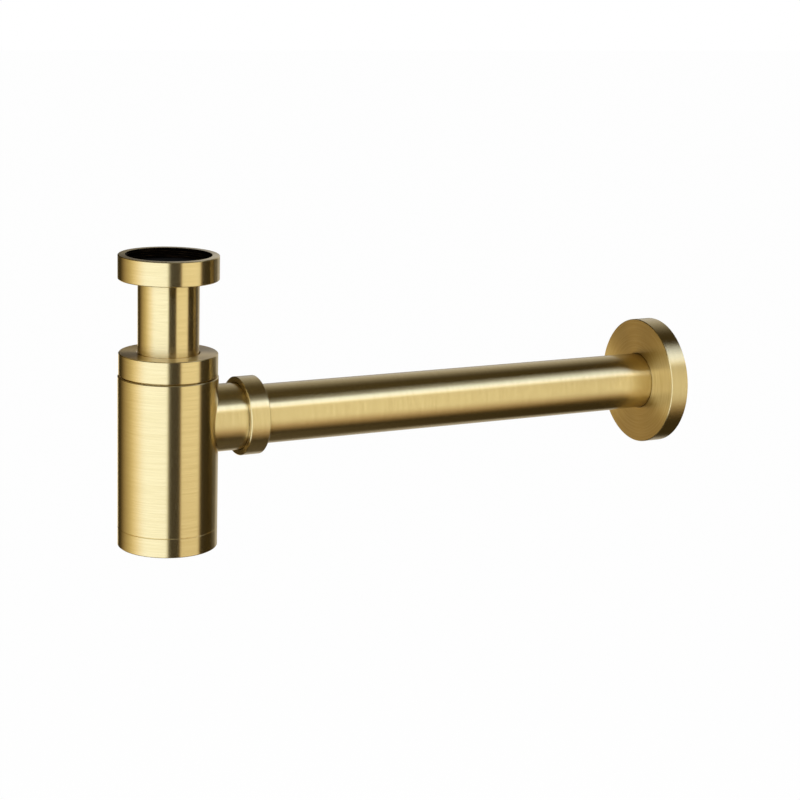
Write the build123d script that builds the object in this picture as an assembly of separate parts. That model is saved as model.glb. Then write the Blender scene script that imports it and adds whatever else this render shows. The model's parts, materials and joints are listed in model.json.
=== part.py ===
from build123d import *
import os

# Round brass bottle trap for a sink, with a union nut at the inlet and a pipe to a wall flange.
# Millimetres. The origin is on the inlet axis, in the plane of the union nut's mouth.
# +Z is up along the inlet and +X runs along the outlet pipe towards the wall.

# Inlet tube, and the wall that the outlet pipe shares with it
tube_od = 32.0
tube_wall = 1.0

# Inlet union: a loose nut for a 1 1/2 inch pipe thread, over a collar and a flat gasket
inlet_thread_minor_d = 44.85
inlet_thread_relief = 0.5
inlet_nut_wall = 3.825
inlet_nut_height = 12.8
inlet_nut_end_wall = 2.4
collar_thickness = 2.0
collar_clearance = 0.4
gasket_thickness = 3.0
tube_show = 38.6

# Cap over the bottle's neck, with the slip ring and cone seal that grip the inlet tube
cap_wall = 2.1
cap_height = 11.8
cap_end_wall = 2.4
cap_gap = 0.5
neck_thread_d = 47.0
neck_seat_d = 41.0
neck_seat_depth = 6.8
inlet_seal_lip = 1.2
inlet_seal_tip = 0.9
inlet_slip_ring_play = 2.3
inlet_slip_ring_thickness = 1.2

# Bottle: its wall stands a small step outside the cap
bottle_step = 0.4
bottle_wall = 2.0
bottle_height = 81.3
crown_thickness = 5.0
outlet_drop = 25.1

# Cup that screws out of the bottle's foot for cleaning, and its seal ring
cup_height = 10.3
cup_floor = 3.0
cup_spigot_height = 7.0
cup_spigot_wall = 3.2
cup_corner_radius = 3.0
cup_ring_section = 1.7
cup_ring_groove_width = 2.2
cup_ring_groove_start = 1.0
dip_gap = 14.5

# Outlet stub on the bottle, with the nut, slip ring and cone seal that grip the outlet pipe.
# The pipe's size follows from the stub's bore.
stub_od = 36.0
stub_wall = 1.7
braze_gap = 0.05
stub_show = 12.4
stub_seat_land = 0.5
stub_seat_depth = 3.0
outlet_nut_wall = 2.8
outlet_nut_length = 11.2
outlet_nut_end_wall = 2.2
outlet_seal_lip = 1.5
outlet_seal_tip = 0.6
outlet_slip_ring_thickness = 1.0
pipe_show = 245.5
pipe_entry = 0.5
pipe_tail = 10.0

# Wall flange and the rubber ring that grips the pipe inside it
flange_od = 72.4
flange_depth = 11.0
flange_wall = 1.5
flange_socket_depth = 4.0
flange_ring_width = 2.0

# Fits and edges
slide_clearance = 0.3
thread_clearance = 0.3
seal_clearance = 0.1
seat_clearance = 0.15
edge_break = 0.4
seam_break = 0.25

# Radii that several pieces share
tube_r = tube_od / 2
tube_bore_r = tube_r - tube_wall
hole_r = tube_r + slide_clearance
seal_r = tube_r + seal_clearance
inlet_thread_r = inlet_thread_minor_d / 2
neck_r = neck_thread_d / 2
neck_seat_r = neck_seat_d / 2
neck_root_r = hole_r + inlet_seal_tip
cap_bore_r = neck_r + thread_clearance
cap_r = cap_bore_r + cap_wall
bottle_r = cap_r + bottle_step
bottle_bore_r = bottle_r - bottle_wall
stub_r = stub_od / 2
stub_bore_r = stub_r - stub_wall
stub_seat_r = stub_r - stub_seat_land
stub_root_r = stub_bore_r + outlet_seal_tip
pipe_r = stub_bore_r - slide_clearance
pipe_bore_r = pipe_r - tube_wall
pipe_hole_r = pipe_r + slide_clearance
pipe_seal_r = pipe_r + seal_clearance
outlet_nut_bore_r = stub_r + thread_clearance
outlet_nut_r = outlet_nut_bore_r + outlet_nut_wall
spigot_r = bottle_bore_r - thread_clearance
spigot_bore_r = spigot_r - cup_spigot_wall
flange_r = flange_od / 2
flange_socket_r = pipe_seal_r + flange_ring_width + seat_clearance

# Heights, from the nut's mouth down
collar_z = -inlet_nut_height + inlet_nut_end_wall
gasket_z = collar_z + collar_thickness
gasket_top_z = gasket_z + gasket_thickness
cap_top_z = -inlet_nut_height - tube_show
cap_inner_z = cap_top_z - cap_end_wall
cap_foot_z = cap_top_z - cap_height
shoulder_z = cap_foot_z - cap_gap
inlet_ring_z = cap_inner_z - inlet_slip_ring_thickness
neck_top_z = inlet_ring_z - inlet_seal_lip
neck_root_z = neck_top_z - neck_seat_depth
crown_z = shoulder_z - crown_thickness
seam_z = shoulder_z - bottle_height
cup_base_z = seam_z - cup_height
cup_floor_z = cup_base_z + cup_floor
dip_z = cup_floor_z + dip_gap
outlet_z = shoulder_z - outlet_drop

# Distances along the outlet, from the inlet axis
outlet_nut_x = bottle_r + stub_show
outlet_nut_end_x = outlet_nut_x + outlet_nut_length
outlet_nut_inner_x = outlet_nut_end_x - outlet_nut_end_wall
outlet_ring_x = outlet_nut_inner_x - outlet_slip_ring_thickness
stub_end_x = outlet_ring_x - outlet_seal_lip
stub_root_x = stub_end_x - stub_seat_depth
pipe_start_x = bottle_bore_r - pipe_entry
flange_x = outlet_nut_end_x + pipe_show
wall_x = flange_x + flange_depth
pipe_end_x = wall_x + pipe_tail


def turned(*outline):
    # A piece turned about Z from (radius, height) points.
    return revolve(make_face(Plane.XZ * Polyline(*outline, close=True)), Axis.Z)


def on_outlet(piece, x=0.0):
    # Lays a piece turned about Z along the outlet axis, with its zero at x.
    return Pos(x, 0, outlet_z) * Rot(0, 90, 0) * piece


def ring(inner_r, outer_r, low, high):
    return turned((inner_r, low), (outer_r, low), (outer_r, high), (inner_r, high))


def cone_seal(bore_r, mouth_r, root_r, depth, lip):
    # Rubber ring with a cone below zero for its seat and a plain lip above it.
    mouth = mouth_r - seat_clearance
    root = root_r - seat_clearance
    foot = seat_clearance - depth
    return turned((bore_r, foot), (root, foot), (mouth, 0), (mouth, lip), (bore_r, lip))


def make_inlet_nut():
    outer_r = inlet_thread_r + inlet_nut_wall
    relief_r = inlet_thread_r + inlet_thread_relief
    return turned(
        (hole_r, -inlet_nut_height),
        (outer_r - edge_break, -inlet_nut_height),
        (outer_r, -inlet_nut_height + edge_break),
        (outer_r, -edge_break),
        (outer_r - edge_break, 0),
        (inlet_thread_r, 0),
        (inlet_thread_r, gasket_top_z),
        (relief_r, gasket_top_z),
        (relief_r, collar_z),
        (hole_r, collar_z),
    )


def make_inlet_gasket():
    return ring(tube_bore_r, inlet_thread_r - collar_clearance, gasket_z, gasket_top_z)


def make_inlet_tube():
    # The collar is turned out of the tube's top, and the tube dips into the bottle's water.
    collar_r = inlet_thread_r - collar_clearance
    return turned(
        (tube_bore_r, dip_z),
        (tube_r, dip_z),
        (tube_r, collar_z),
        (collar_r, collar_z),
        (collar_r, gasket_z),
        (tube_bore_r, gasket_z),
    )


def make_top_cap():
    return turned(
        (cap_bore_r, cap_foot_z),
        (cap_r - edge_break, cap_foot_z),
        (cap_r, cap_foot_z + edge_break),
        (cap_r, cap_top_z - edge_break),
        (cap_r - edge_break, cap_top_z),
        (hole_r + edge_break, cap_top_z),
        (hole_r, cap_top_z - edge_break),
        (hole_r, cap_inner_z),
        (cap_bore_r, cap_inner_z),
    )


def make_inlet_slip_ring():
    return ring(hole_r, cap_bore_r - inlet_slip_ring_play, inlet_ring_z, cap_inner_z)


def make_inlet_seal():
    seal = cone_seal(seal_r, neck_seat_r, neck_root_r, neck_seat_depth, inlet_seal_lip)
    return Pos(0, 0, neck_top_z) * seal


def make_bottle():
    # Neck, crown and wall turned as one, with a hole in the wall for the outlet stub.
    shell = turned(
        (bottle_bore_r, seam_z),
        (bottle_r - seam_break, seam_z),
        (bottle_r, seam_z + seam_break),
        (bottle_r, shoulder_z - edge_break),
        (bottle_r - edge_break, shoulder_z),
        (neck_r, shoulder_z),
        (neck_r, neck_top_z - edge_break),
        (neck_r - edge_break, neck_top_z),
        (neck_seat_r, neck_top_z),
        (neck_root_r, neck_root_z),
        (hole_r, neck_root_z),
        (hole_r, crown_z),
        (bottle_bore_r, crown_z),
    )
    return shell - on_outlet(ring(0, stub_r + braze_gap, 0, bottle_r))


def make_outlet_stub():
    # Turned with a cone seat in its mouth, and brazed into the wall flush with the bottle's bore.
    stub = turned(
        (stub_bore_r, 0),
        (stub_r, 0),
        (stub_r, stub_end_x),
        (stub_seat_r, stub_end_x),
        (stub_root_r, stub_root_x),
        (stub_bore_r, stub_root_x),
    )
    return on_outlet(stub) - ring(0, bottle_bore_r, seam_z, shoulder_z)


def make_cup_seal_ring():
    section_r = cup_ring_section / 2
    centre_r = bottle_bore_r - seal_clearance / 2 - section_r
    centre_z = seam_z + cup_ring_groove_start + cup_ring_groove_width / 2
    return Pos(0, 0, centre_z) * Torus(centre_r, section_r)


def make_bottom_cup():
    groove_r = bottle_bore_r - seal_clearance - cup_ring_section
    groove_low = seam_z + cup_ring_groove_start
    groove_high = groove_low + cup_ring_groove_width
    spigot_top = seam_z + cup_spigot_height
    shell = turned(
        (0, cup_base_z),
        (bottle_r - edge_break, cup_base_z),
        (bottle_r, cup_base_z + edge_break),
        (bottle_r, seam_z - seam_break),
        (bottle_r - seam_break, seam_z),
        (spigot_r, seam_z),
        (spigot_r, groove_low),
        (groove_r, groove_low),
        (groove_r, groove_high),
        (spigot_r, groove_high),
        (spigot_r, spigot_top - edge_break),
        (spigot_r - edge_break, spigot_top),
        (spigot_bore_r, spigot_top),
        (spigot_bore_r, cup_floor_z),
        (0, cup_floor_z),
    )
    corner = shell.edges().filter_by(GeomType.CIRCLE).filter_by_position(Axis.Z, cup_floor_z, cup_floor_z)
    return fillet(corner, cup_corner_radius)


def make_outlet_nut():
    inner = outlet_nut_length - outlet_nut_end_wall
    nut = turned(
        (outlet_nut_bore_r, 0),
        (outlet_nut_r - edge_break, 0),
        (outlet_nut_r, edge_break),
        (outlet_nut_r, outlet_nut_length - edge_break),
        (outlet_nut_r - edge_break, outlet_nut_length),
        (pipe_hole_r, outlet_nut_length),
        (pipe_hole_r, inner),
        (outlet_nut_bore_r, inner),
    )
    return on_outlet(nut, outlet_nut_x)


def make_outlet_slip_ring():
    outer_r = outlet_nut_bore_r - slide_clearance
    return on_outlet(ring(pipe_hole_r, outer_r, 0, outlet_slip_ring_thickness), outlet_ring_x)


def make_outlet_seal():
    seal = cone_seal(pipe_seal_r, stub_seat_r, stub_root_r, stub_seat_depth, outlet_seal_lip)
    return on_outlet(seal, stub_end_x)


def make_outlet_pipe():
    return on_outlet(ring(pipe_bore_r, pipe_r, pipe_start_x, pipe_end_x))


def make_wall_flange():
    # A shallow spun cup, open to the wall, with a socket for the grip ring behind its face.
    socket_wall_r = flange_socket_r + flange_wall
    socket_end = flange_wall + flange_socket_depth
    flange = turned(
        (pipe_hole_r, 0),
        (flange_r - edge_break, 0),
        (flange_r, edge_break),
        (flange_r, flange_depth),
        (flange_r - flange_wall, flange_depth),
        (flange_r - flange_wall, flange_wall),
        (socket_wall_r, flange_wall),
        (socket_wall_r, socket_end),
        (flange_socket_r, socket_end),
        (flange_socket_r, flange_wall),
        (pipe_hole_r, flange_wall),
    )
    return on_outlet(flange, flange_x)


def make_flange_ring():
    grip = ring(pipe_seal_r, flange_socket_r - seat_clearance, flange_wall, flange_wall + flange_socket_depth)
    return on_outlet(grip, flange_x)


pieces = {
    "inlet_nut": make_inlet_nut(),
    "inlet_gasket": make_inlet_gasket(),
    "inlet_tube": make_inlet_tube(),
    "top_cap": make_top_cap(),
    "inlet_slip_ring": make_inlet_slip_ring(),
    "inlet_seal": make_inlet_seal(),
    "bottle": make_bottle(),
    "outlet_stub": make_outlet_stub(),
    "cup_seal_ring": make_cup_seal_ring(),
    "bottom_cup": make_bottom_cup(),
    "outlet_nut": make_outlet_nut(),
    "outlet_slip_ring": make_outlet_slip_ring(),
    "outlet_seal": make_outlet_seal(),
    "outlet_pipe": make_outlet_pipe(),
    "wall_flange": make_wall_flange(),
    "flange_ring": make_flange_ring(),
}

os.makedirs("parts", exist_ok=True)
for name, piece in pieces.items():
    export_step(piece, f"parts/{name}.step")
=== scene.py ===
import json
import math
import bmesh
import bpy
from mathutils import Matrix, Vector


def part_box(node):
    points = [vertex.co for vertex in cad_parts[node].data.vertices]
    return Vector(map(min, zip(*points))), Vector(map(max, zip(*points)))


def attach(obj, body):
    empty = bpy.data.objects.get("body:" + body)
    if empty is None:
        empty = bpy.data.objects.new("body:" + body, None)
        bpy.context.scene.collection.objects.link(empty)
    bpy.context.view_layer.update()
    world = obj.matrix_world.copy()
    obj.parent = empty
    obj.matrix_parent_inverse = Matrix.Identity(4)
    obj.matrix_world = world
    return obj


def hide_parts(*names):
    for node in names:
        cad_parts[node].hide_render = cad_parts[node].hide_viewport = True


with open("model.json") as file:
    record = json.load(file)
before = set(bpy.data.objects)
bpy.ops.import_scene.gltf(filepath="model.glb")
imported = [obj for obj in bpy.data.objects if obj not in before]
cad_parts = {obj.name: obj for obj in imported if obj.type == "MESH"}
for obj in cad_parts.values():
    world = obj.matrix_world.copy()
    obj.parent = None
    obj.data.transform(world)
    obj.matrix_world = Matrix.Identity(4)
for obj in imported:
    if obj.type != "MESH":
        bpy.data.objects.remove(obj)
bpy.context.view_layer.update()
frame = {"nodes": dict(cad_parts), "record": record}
mm = 0.001
scene = bpy.context.scene
scene.view_settings.view_transform = "Standard"
outletHeight = sum(corner.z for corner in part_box("outlet_pipe")) / 2  # axis of the outlet pipe


def linearColour(hexCode):  # sRGB hex to linear RGBA
    channels = [int(hexCode[i:i + 2], 16) / 255 for i in (1, 3, 5)]
    linear = [c / 12.92 if c <= 0.04045 else ((c + 0.055) / 1.055) ** 2.4 for c in channels]
    return linear + [1.0]


def addNode(tree, kind, settings, inputs):  # inputs hold a value, or a socket to link from
    node = tree.nodes.new(kind)
    for name, value in settings.items():
        setattr(node, name, value)
    for key, value in inputs.items():
        if isinstance(value, bpy.types.NodeSocket):
            tree.links.new(value, node.inputs[key])
        else:
            node.inputs[key].default_value = value
    return node


def newMaterial(name):
    material = bpy.data.materials.new(name)
    material.use_nodes = True
    material.node_tree.nodes.clear()
    return material, material.node_tree


def axisCoordinates(tree, axis):  # distance along the turning axis, and the vector out from it
    place = addNode(tree, "ShaderNodeTexCoord", {}, {})
    split = addNode(tree, "ShaderNodeSeparateXYZ", {}, {0: place.outputs["Object"]})
    if axis == "Z":
        along, sideA, sideB = split.outputs["Z"], split.outputs["X"], split.outputs["Y"]
    else:
        level = addNode(tree, "ShaderNodeMath", {"operation": "SUBTRACT"},
                        {0: split.outputs["Z"], 1: outletHeight})
        along, sideA, sideB = split.outputs["X"], split.outputs["Y"], level.outputs[0]
    outward = addNode(tree, "ShaderNodeCombineXYZ", {}, {"X": sideA, "Y": sideB})
    return along, outward.outputs[0]


# Brass tube and bar, turned, brushed round its axis with fine grit and lacquered: reflections stay
# sharp round the piece and smear along it, the lacquer adds a pale skin over the yellow metal.
satinBrass = {
    "colour": "#E5D099",
    "lineColour": "#DEC88E",  # floor of the brush lines
    "boreShadeAndFaceColour": "#2F2416",  # painted shade: the inside of a tube drawn near black for the deep shade in it; faced ends set their own tone
    "boreShadeAndFaceLineColour": "#261C10",
    "roughness": 0.26,
    "lineRoughness": 0.27,
    "innerRoughness": 0.5,
    "anisotropy": 0.95,
    "smearTurn": 0.25,  # a quarter turn: the smear lies across the brush lines
    "coat": 1.0,
    "coatRoughness": 0.16,
    "lineWidth": 0.5 * mm,  # real lines are near 0.1 mm, drawn coarser so that they show
    "lineDepth": 0.0001 * mm,  # hardly a groove: the lines show as tone
    "lineDetail": 3.0,
    "lineSpan": (0.35, 0.65),  # noise taken as the floor and the top of a line
    "strokes": 1.6,  # strokes fade in and out a few times round the piece
}
# Faces of the flange, cap and cup, cut on a lathe with deeper rings than their brushed rims: light fans
# out from the centre of the face.
facedBrass = dict(satinBrass, boreShadeAndFaceColour="#ECD08A", boreShadeAndFaceLineColour="#DFBF75", innerRoughness=0.46)


def makeSatinBrass(name, look, axis, innerRadius):
    material, tree = newMaterial(name)
    along, outward = axisCoordinates(tree, axis)
    radius = addNode(tree, "ShaderNodeVectorMath", {"operation": "LENGTH"}, {0: outward})
    facing = addNode(tree, "ShaderNodeVectorMath", {"operation": "NORMALIZE"}, {0: outward})
    stroke = addNode(tree, "ShaderNodeVectorMath", {"operation": "SCALE"},
                     {0: facing.outputs[0], "Scale": look["strokes"]})
    lineAlong = addNode(tree, "ShaderNodeMath", {"operation": "DIVIDE"},
                        {0: along, 1: look["lineWidth"]})
    lineOut = addNode(tree, "ShaderNodeMath", {"operation": "DIVIDE"},
                      {0: radius.outputs["Value"], 1: look["lineWidth"]})
    lift = addNode(tree, "ShaderNodeCombineXYZ", {}, {"Z": lineAlong.outputs[0]})
    spot = addNode(tree, "ShaderNodeVectorMath", {"operation": "ADD"},
                   {0: stroke.outputs[0], 1: lift.outputs[0]})
    lines = addNode(tree, "ShaderNodeTexNoise", {"noise_dimensions": "4D"}, {
        "Vector": spot.outputs[0], "W": lineOut.outputs[0], "Scale": 1.0, "Detail": look["lineDetail"]})
    lineFloor, lineTop = look["lineSpan"]
    shade = addNode(tree, "ShaderNodeMapRange", {}, {0: lines.outputs[0], 1: lineFloor, 2: lineTop})
    tone = addNode(tree, "ShaderNodeMix", {"data_type": "RGBA"}, {
        0: shade.outputs[0], 6: linearColour(look["lineColour"]), 7: linearColour(look["colour"])})
    grit = addNode(tree, "ShaderNodeMapRange", {},
                   {0: shade.outputs[0], 3: look["lineRoughness"], 4: look["roughness"]})
    colour, roughness = tone.outputs[2], grit.outputs[0]
    if innerRadius:  # the bore of a tube, painted near black as shade, and a faced end in its own turned tone
        inner = addNode(tree, "ShaderNodeMath", {"operation": "LESS_THAN"},
                        {0: radius.outputs["Value"], 1: innerRadius})
        rings = addNode(tree, "ShaderNodeMix", {"data_type": "RGBA"}, {
            0: shade.outputs[0],
            6: linearColour(look["boreShadeAndFaceLineColour"]),
            7: linearColour(look["boreShadeAndFaceColour"]),
        })
        innerTone = addNode(tree, "ShaderNodeMix", {"data_type": "RGBA"},
                            {0: inner.outputs[0], 6: colour, 7: rings.outputs[2]})
        innerGrit = addNode(tree, "ShaderNodeMix", {},
                            {0: inner.outputs[0], 2: roughness, 3: look["innerRoughness"]})
        colour, roughness = innerTone.outputs[2], innerGrit.outputs[0]
    bump = addNode(tree, "ShaderNodeBump", {},
                   {"Height": lines.outputs[0], "Distance": look["lineDepth"]})
    around = addNode(tree, "ShaderNodeTangent", {"direction_type": "RADIAL", "axis": axis}, {})
    shader = addNode(tree, "ShaderNodeBsdfPrincipled", {}, {
        "Base Color": colour,
        "Metallic": 1.0,
        "Roughness": roughness,
        "Anisotropic": look["anisotropy"],
        "Anisotropic Rotation": look["smearTurn"],
        "Tangent": around.outputs[0],
        "Normal": bump.outputs[0],
        "Coat Weight": look["coat"],
        "Coat Roughness": look["coatRoughness"],
    })
    addNode(tree, "ShaderNodeOutputMaterial", {}, {"Surface": shader.outputs[0]})
    return material


# Brass thread, cut, in painted shade: near black and dull for the deep shade inside the nut, with a glint
# on the crests only.
paintedShadeThread = {
    "colour": "#1C150D",
    "fleckColour": "#2A2014",
    "roughness": 0.45,
    "fleck": 0.8 * mm,  # size of the random spots in the painted shade
    "detail": 2.0,
}


def makePaintedShadeThread():
    look = paintedShadeThread
    material, tree = newMaterial("brass_thread_painted_shade")
    place = addNode(tree, "ShaderNodeTexCoord", {}, {})
    film = addNode(tree, "ShaderNodeTexNoise", {}, {
        "Vector": place.outputs["Object"], "Scale": 1 / look["fleck"], "Detail": look["detail"]})
    tone = addNode(tree, "ShaderNodeMix", {"data_type": "RGBA"}, {
        0: film.outputs[0], 6: linearColour(look["colour"]), 7: linearColour(look["fleckColour"])})
    shader = addNode(tree, "ShaderNodeBsdfPrincipled", {}, {
        "Base Color": tone.outputs[2], "Metallic": 1.0, "Roughness": look["roughness"]})
    addNode(tree, "ShaderNodeOutputMaterial", {}, {"Surface": shader.outputs[0]})
    return material


# Brass strip, rolled and stamped into thin rings: even yellow with faint roll lines one way.
rolledBrass = {
    "colour": "#D2B468",
    "rollColour": "#BF9F55",
    "roughness": 0.34,
    "rollLine": 0.5 * mm,  # real roll lines are finer, drawn coarser so that they show
    "rollLength": 20,  # times as long as wide
    "detail": 2.0,
}


def makeRolledBrass():
    look = rolledBrass
    material, tree = newMaterial("brass_rolled_strip")
    place = addNode(tree, "ShaderNodeTexCoord", {}, {})
    fine = 1 / look["rollLine"]
    stretch = addNode(tree, "ShaderNodeVectorMath", {"operation": "MULTIPLY"},
                      {0: place.outputs["Object"], 1: (fine, fine / look["rollLength"], fine)})
    lines = addNode(tree, "ShaderNodeTexNoise", {},
                    {"Vector": stretch.outputs[0], "Scale": 1.0, "Detail": look["detail"]})
    tone = addNode(tree, "ShaderNodeMix", {"data_type": "RGBA"}, {
        0: lines.outputs[0], 6: linearColour(look["rollColour"]), 7: linearColour(look["colour"])})
    shader = addNode(tree, "ShaderNodeBsdfPrincipled", {}, {
        "Base Color": tone.outputs[2], "Metallic": 1.0, "Roughness": look["roughness"]})
    addNode(tree, "ShaderNodeOutputMaterial", {}, {"Surface": shader.outputs[0]})
    return material


# Nitrile rubber, moulded: near black and dull, with a fine skin left by the mould.
nitrileRubber = {
    "colour": "#050505",
    "bloomColour": "#0C0C0D",  # grey bloom on the skin
    "roughness": 0.6,
    "grain": 0.6 * mm,
    "depth": 0.02 * mm,
    "detail": 3.0,
}


def makeNitrileRubber():
    look = nitrileRubber
    material, tree = newMaterial("rubber_moulded_nitrile")
    place = addNode(tree, "ShaderNodeTexCoord", {}, {})
    grain = addNode(tree, "ShaderNodeTexNoise", {}, {
        "Vector": place.outputs["Object"], "Scale": 1 / look["grain"], "Detail": look["detail"]})
    tone = addNode(tree, "ShaderNodeMix", {"data_type": "RGBA"}, {
        0: grain.outputs[0], 6: linearColour(look["colour"]), 7: linearColour(look["bloomColour"])})
    bump = addNode(tree, "ShaderNodeBump", {}, {"Height": grain.outputs[0], "Distance": look["depth"]})
    shader = addNode(tree, "ShaderNodeBsdfPrincipled", {}, {
        "Base Color": tone.outputs[2], "Roughness": look["roughness"], "Normal": bump.outputs[0]})
    addNode(tree, "ShaderNodeOutputMaterial", {}, {"Surface": shader.outputs[0]})
    return material


tubeBore = 15.5 * mm  # between the tubes' bore and their outside: inside it the bore is painted dark as shade
flangeFace = 35.9 * mm  # each face ends just inside its rim
capFace = 25.6 * mm
cupFace = 26.0 * mm
brassUpright = makeSatinBrass("brass_satin_upright", satinBrass, "Z", None)
brassOutlet = makeSatinBrass("brass_satin_outlet", satinBrass, "X", None)
brassCap = makeSatinBrass("brass_faced_cap", facedBrass, "Z", capFace)
brassCup = makeSatinBrass("brass_faced_cup", facedBrass, "Z", cupFace)
brassFlange = makeSatinBrass("brass_faced_flange", facedBrass, "X", flangeFace)
brassInletTube = makeSatinBrass("brass_satin_inlet_tube", satinBrass, "Z", tubeBore)
brassOutletPipe = makeSatinBrass("brass_satin_outlet_pipe", satinBrass, "X", tubeBore)
paintedShadeThreadBrass = makePaintedShadeThread()
ringBrass = makeRolledBrass()
rubber = makeNitrileRubber()

finishes = {
    "inlet_tube": brassInletTube,
    "top_cap": brassCap,
    "bottle": brassUpright,
    "bottom_cup": brassCup,
    "outlet_stub": brassOutlet,
    "outlet_nut": brassOutlet,
    "outlet_pipe": brassOutletPipe,
    "wall_flange": brassFlange,
    "inlet_slip_ring": ringBrass,
    "outlet_slip_ring": ringBrass,
    "inlet_gasket": rubber,
    "inlet_seal": rubber,
    "cup_seal_ring": rubber,
    "outlet_seal": rubber,
    "flange_ring": rubber,
}
for node, material in finishes.items():
    for materialSlot in frame["nodes"][node].material_slots:
        materialSlot.material = material
print("materials on", len(finishes), "CAD nodes")


threadShape = {
    "pitch": 2.309 * mm,  # 11 threads to the inch, as the joints' couplings have it
    "crest": 0.2,  # flat share at crest and root
    "segments": 144,
    "rowsPerTurn": 14,
    "sharpAngle": math.radians(30),  # edges sharper than this stay crisp
}


def threadWave(angle, along):  # 0 in the root, 1 on the crest of a right-hand thread
    phase = (along / threadShape["pitch"] - angle / (2 * math.pi)) % 1
    slope = (1 - abs(2 * phase - 1) - threadShape["crest"]) / (1 - 2 * threadShape["crest"])
    return min(1.0, max(0.0, slope))


def turnedMesh(name, rings, axis):  # rings of (radius, along, thread height), closed into a loop
    count = threadShape["segments"]
    mesh = bmesh.new()
    loops = []
    for radius, along, height in rings:
        loop = []
        for k in range(count):
            angle = 2 * math.pi * k / count
            r = radius + height * threadWave(angle, along)
            a, b = r * math.cos(angle), r * math.sin(angle)
            place = (a, b, along) if axis == "Z" else (along, a, b + outletHeight)
            loop.append(mesh.verts.new(place))
        loops.append(loop)
    for i in range(len(loops)):
        near, far = loops[i], loops[(i + 1) % len(loops)]
        for k in range(count):
            n = (k + 1) % count
            mesh.faces.new((near[k], near[n], far[n], far[k]))
    bmesh.ops.recalc_face_normals(mesh, faces=mesh.faces)
    data = bpy.data.meshes.new(name)
    mesh.to_mesh(data)
    mesh.free()
    data.shade_smooth()
    data.set_sharp_from_angle(angle=threadShape["sharpAngle"])
    piece = bpy.data.objects.new(name, data)
    scene.collection.objects.link(piece)
    return piece


def threadRows(start, end):  # distances along the axis for the rings of a threaded wall
    rows = max(2, round(abs(end - start) / threadShape["pitch"] * threadShape["rowsPerTurn"]))
    return [start + (end - start) * i / rows for i in range(rows + 1)]


def runOut(along, start, end, fade):  # thread height grows from nothing over the fade at both ends
    return min(1.0, abs(along - start) / fade, abs(along - end) / fade)


# Union nut with its real inside thread, in place of the plain CAD nut
unionNut = {
    "threadRadius": frame["record"]["mounts"][0]["dims"]["r_mm"] * mm,
    "threadDepth": 1.3 * mm,
    "threadEnd": -5.4 * mm,  # the gasket's top
    "reliefRadius": 22.925 * mm,
    "holeRadius": 16.3 * mm,
    "endWall": 2.4 * mm,
    "edge": 0.4 * mm,
    "fade": 0.7 * mm,
}


def makeUnionNut():
    look = unionNut
    low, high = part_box("inlet_nut")
    outer, edge = high.x, look["edge"]
    floor = low.z + look["endWall"]
    rings = [
        (look["holeRadius"], low.z, 0),
        (outer - edge, low.z, 0),
        (outer, low.z + edge, 0),
        (outer, high.z - edge, 0),
        (outer - edge, high.z, 0),
        (look["threadRadius"], high.z, 0),
    ]
    plainRings = len(rings)
    for along in threadRows(high.z - edge, look["threadEnd"]):
        grow = runOut(along, high.z - edge, look["threadEnd"], look["fade"])
        rings.append((look["threadRadius"], along, look["threadDepth"] * grow))
    rings.append((look["reliefRadius"], look["threadEnd"], 0))
    rings.append((look["reliefRadius"], floor, 0))
    rings.append((look["holeRadius"], floor, 0))
    nut = turnedMesh("union_nut", rings, "Z")
    nut.data.materials.append(brassUpright)
    nut.data.materials.append(paintedShadeThreadBrass)
    facesPerRing = threadShape["segments"]
    for face in nut.data.polygons:  # everything from the rim inwards is cut thread, painted dark as shade
        if face.index >= (plainRings - 1) * facesPerRing:
            face.material_index = 1
    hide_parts("inlet_nut")
    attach(nut, "inlet_nut")


makeUnionNut()

# Outside threads that show when a cap, cup or nut is unscrewed; each fits inside its clearance
outsideThreads = {
    "neck_thread": {
        "body": "bottle", "axis": "Z", "radius": 23.5 * mm, "start": -63.4 * mm, "end": -57.2 * mm},
    "spigot_thread": {
        "body": "bottom_cup", "axis": "Z", "radius": 24.0 * mm, "start": -141.6 * mm, "end": -138.5 * mm},
    "stub_thread": {
        "body": "bottle", "axis": "X", "radius": 18.0 * mm, "start": 39.0 * mm, "end": 44.8 * mm},
}
ridge = {"height": 0.24 * mm, "sunk": 0.1 * mm, "fade": 0.6 * mm}


def makeOutsideThread(name, place):
    rings = []
    for along in threadRows(place["start"], place["end"]):
        grow = runOut(along, place["start"], place["end"], ridge["fade"])
        rings.append((place["radius"], along, ridge["height"] * grow))
    rings.append((place["radius"] - ridge["sunk"], place["end"], 0))
    rings.append((place["radius"] - ridge["sunk"], place["start"], 0))
    thread = turnedMesh(name, rings, place["axis"])
    thread.data.materials.append(ringBrass)
    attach(thread, place["body"])


for name, place in outsideThreads.items():
    makeOutsideThread(name, place)
print("threads made: union nut and", len(outsideThreads), "outside threads")


# Camera at the photograph's viewing angle, for a square image
view = {
    "lens": 91.06,  # mm, on a sensor 36 mm wide
    "sensor": 36.0,
    "azimuth": math.radians(-28.14),
    "elevation": math.radians(13.12),
    "roll": math.radians(1.84),
    "distance": 1.055,
    "pivot": Vector((0, 0, -63.7 * mm)),
    "slideRight": 121.17 * mm,
    "slideUp": -9.02 * mm,
}


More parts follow.
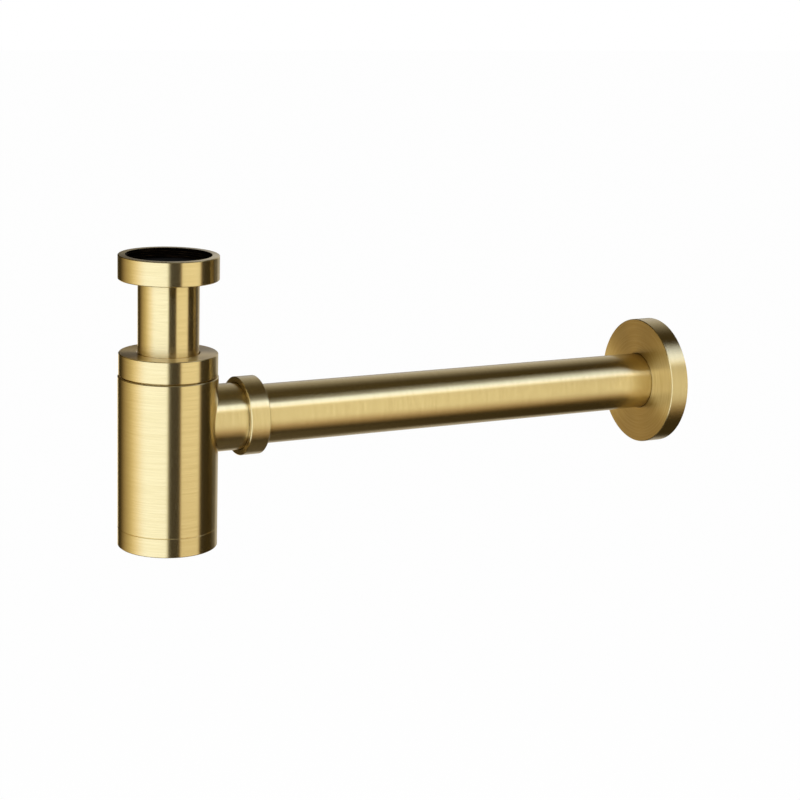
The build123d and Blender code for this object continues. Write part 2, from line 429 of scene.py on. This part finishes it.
def setCamera():
    az, el, roll = view["azimuth"], view["elevation"], view["roll"]
    right = Vector((math.cos(az), math.sin(az), 0))
    back = Vector((math.sin(az) * math.cos(el), -math.cos(az) * math.cos(el), math.sin(el)))
    up = back.cross(right)
    place = view["pivot"] + right * view["slideRight"] + up * view["slideUp"] + back * view["distance"]
    rolledRight = right * math.cos(roll) + up * math.sin(roll)
    rolledUp = up * math.cos(roll) - right * math.sin(roll)
    data = bpy.data.cameras.new("camera")
    data.lens = view["lens"]
    data.sensor_width = view["sensor"]
    data.sensor_fit = "HORIZONTAL"
    camera = bpy.data.objects.new("camera", data)
    turn = Matrix((rolledRight, rolledUp, back)).transposed().to_4x4()
    camera.matrix_world = Matrix.Translation(place) @ turn
    scene.collection.objects.link(camera)
    scene.camera = camera


setCamera()
print("camera set")


# Studio: a dark tent round the part with curved soft panels in it, over a pale floor.
# Sides are degrees round from the camera, to the right of the image; heights are degrees above level.
# Fades are the soft edges at the left, right, low and high side, in degrees, and reach is in metres.
tent = {
    "centre": Vector((80 * mm, 0, -85 * mm)),
    "radius": 3.0,
    "floorDrop": 0.6,  # floor below the centre
    "clothGap": 0.03,  # cloth and panels stop above the floor
    "panelGap": 0.07,
    "step": 2,  # degrees between the points of a panel
    "clothStep": 6,
    "cloth": "#382F1A",
}
panels = {
    "keyPanel": {
        "side": (-93, 5), "height": (-62, 46), "fade": (50, 6, 20, 12), "reach": 0.93,
        "level": 1.7, "tint": "#E3EEFF", "fringe": "#F4EED8"},
    "warmPanel": {
        "side": (-130, -45), "height": (-55, 40), "fade": (46, 40, 18, 14), "reach": 0.93,
        "level": 0.6, "tint": "#FFEEB7", "fringe": "#FFD78E"},
    "rightPanel": {
        "side": (29, 84), "height": (-65, 37), "fade": (3, 7, 55, 6), "reach": 0.93,
        "level": 1.06, "tint": "#FFFAE2", "fringe": "#FFC878"},
    "topStrip": {
        "side": (-4, 118), "height": (28, 49), "fade": (14, 16, 8, 2), "reach": 2.8,
        "level": 2.1, "tint": "#D6E4FF"},
    "backPanel": {
        "side": (124, 198), "height": (-34, 74), "fade": (46, 14, 14, 56), "reach": 0.93,
        "level": 0.56, "tint": "#FFFBF0"},
    "rearPanel": {  # for the side turned away from the camera
        "side": (140, 214), "height": (-60, 4), "fade": (20, 16, 20, 10), "reach": 0.93,
        "level": 0.45, "tint": "#FFF6E2"},
    "overPanel": {  # what the ceiling throws back
        "side": (-180, 180), "height": (46, 90), "fade": (1, 1, 24, 1), "reach": 0.93,
        "level": 0.045, "tint": "#FFEFC0"},
    "flangeCard": {  # near enough that only the flange's face mirrors it
        "side": (-172, -132), "height": (-45, 2), "fade": (8, 12, 14, 10), "reach": 0.44,
        "level": 0.78, "tint": "#FFE3A8"},
    "lowPanel": {  # what the floor throws back
        "side": (-180, 180), "height": (-88, -56), "fade": (1, 1, 1, 16), "reach": 0.93,
        "level": 0.07, "tint": "#FFF1D8"},
}


def tentPoint(side, height, radius, gap):  # direction seen from the tent's centre, kept above the floor
    turn = view["azimuth"] + math.radians(side)
    rise = math.radians(height)
    reach = radius
    if rise < 0:
        reach = min(radius, (tent["floorDrop"] - gap) / -math.sin(rise))
    flat = math.cos(rise)
    return tent["centre"] + reach * Vector((math.sin(turn) * flat, -math.cos(turn) * flat, math.sin(rise)))


def softEdge(value, low, high, fadeLow, fadeHigh):  # 0 at the edges, 1 within the fades
    share = min((value - low) / fadeLow, (high - value) / fadeHigh, 1.0)
    share = max(0.0, share)
    return share * share * (3 - 2 * share)


def stageObject(name, points, columns, material):  # a sheet of points in rows of the same length
    faces = []
    for i in range(len(points) - columns):
        if i % columns < columns - 1:
            faces.append((i, i + 1, i + columns + 1, i + columns))
    data = bpy.data.meshes.new(name)
    data.from_pydata(points, [], faces)
    data.materials.append(material)
    sheet = bpy.data.objects.new(name, data)
    scene.collection.objects.link(sheet)
    return sheet


def spread(low, high, step):
    count = max(1, round((high - low) / step))
    return [low + (high - low) * i / count for i in range(count + 1)]


def makePanel(name, look):
    material, tree = newMaterial("studio_" + name)
    glow = addNode(tree, "ShaderNodeAttribute", {"attribute_name": "glow"}, {})
    power = addNode(tree, "ShaderNodeMath", {"operation": "MULTIPLY"},
                    {0: glow.outputs["Fac"], 1: look["level"]})
    fringe = look.get("fringe", look["tint"])  # colour of the soft edges
    colour = addNode(tree, "ShaderNodeMix", {"data_type": "RGBA"},
                     {0: glow.outputs["Fac"], 6: linearColour(fringe), 7: linearColour(look["tint"])})
    light = addNode(tree, "ShaderNodeEmission", {},
                    {"Color": colour.outputs[2], "Strength": power.outputs[0]})
    clear = addNode(tree, "ShaderNodeBsdfTransparent", {}, {})
    blend = addNode(tree, "ShaderNodeAddShader", {}, {0: light.outputs[0], 1: clear.outputs[0]})
    addNode(tree, "ShaderNodeOutputMaterial", {}, {"Surface": blend.outputs[0]})
    sides = spread(*look["side"], tent["step"])
    heights = spread(*look["height"], tent["step"])
    fadeLeft, fadeRight, fadeLow, fadeHigh = look["fade"]
    points, glows = [], []
    for height in heights:
        for side in sides:
            points.append(tentPoint(side, height, look["reach"], tent["panelGap"]))
            across = softEdge(side, *look["side"], fadeLeft, fadeRight)
            glows.append(across * softEdge(height, *look["height"], fadeLow, fadeHigh))
    panel = stageObject(name, points, len(sides), material)
    panel.data.attributes.new("glow", "FLOAT", "POINT").data.foreach_set("value", glows)
    panel.visible_camera = False


def makeTent():
    material, tree = newMaterial("studio_dark_cloth")
    light = addNode(tree, "ShaderNodeEmission", {}, {"Color": linearColour(tent["cloth"])})
    addNode(tree, "ShaderNodeOutputMaterial", {}, {"Surface": light.outputs[0]})
    sides = spread(-180, 180, tent["clothStep"])
    points = []
    for height in spread(-90, 90, tent["clothStep"]):
        for side in sides:
            points.append(tentPoint(side, height, tent["radius"], tent["clothGap"]))
    cloth = stageObject("tentCloth", points, len(sides), material)
    cloth.visible_camera = False
    cloth.visible_diffuse = False
    cloth.visible_shadow = False


def seenRays(tree):  # 1 for what the camera sees, directly, mirrored or through glass
    path = addNode(tree, "ShaderNodeLightPath", {}, {})
    mirrored = addNode(tree, "ShaderNodeMath", {"operation": "MAXIMUM"},
                       {0: path.outputs["Is Camera Ray"], 1: path.outputs["Is Glossy Ray"]})
    seen = addNode(tree, "ShaderNodeMath", {"operation": "MAXIMUM"},
                   {0: mirrored.outputs[0], 1: path.outputs["Is Transmission Ray"]})
    return seen.outputs[0]


floorLook = {
    "colour": "#F4F4F2",
    "halfWidth": 12.0,
    "white": 0.985,  # the rest of the white shows the shadow
}


def makeFloor():
    material, tree = newMaterial("studio_pale_floor")
    matt = addNode(tree, "ShaderNodeBsdfDiffuse", {}, {"Color": linearColour(floorLook["colour"])})
    white = addNode(tree, "ShaderNodeEmission", {}, {"Strength": 1.0})
    share = addNode(tree, "ShaderNodeMath", {"operation": "MULTIPLY"},
                    {0: seenRays(tree), 1: floorLook["white"]})
    blend = addNode(tree, "ShaderNodeMixShader", {},
                    {0: share.outputs[0], 1: matt.outputs[0], 2: white.outputs[0]})
    addNode(tree, "ShaderNodeOutputMaterial", {}, {"Surface": blend.outputs[0]})
    half = floorLook["halfWidth"]
    level = tent["centre"].z - tent["floorDrop"]
    corners = [Vector((x, y, level)) for y in (-half, half) for x in (-half, half)]
    stageObject("floor", corners, 2, material)


worldLook = {"ambient": "#F2F2F0", "ambientLevel": 0.3}


def makeWorld():
    world = bpy.data.worlds.new("studio")
    world.use_nodes = True
    tree = world.node_tree
    tree.nodes.clear()
    dim = addNode(tree, "ShaderNodeBackground", {},
                  {"Color": linearColour(worldLook["ambient"]), "Strength": worldLook["ambientLevel"]})
    white = addNode(tree, "ShaderNodeBackground", {}, {"Color": (1, 1, 1, 1), "Strength": 1.0})
    blend = addNode(tree, "ShaderNodeMixShader", {},
                    {0: seenRays(tree), 1: dim.outputs[0], 2: white.outputs[0]})
    addNode(tree, "ShaderNodeOutputWorld", {}, {"Surface": blend.outputs[0]})
    scene.world = world


makeTent()
for name, look in panels.items():
    makePanel(name, look)
makeFloor()
makeWorld()
print("studio set:", len(panels), "panels")
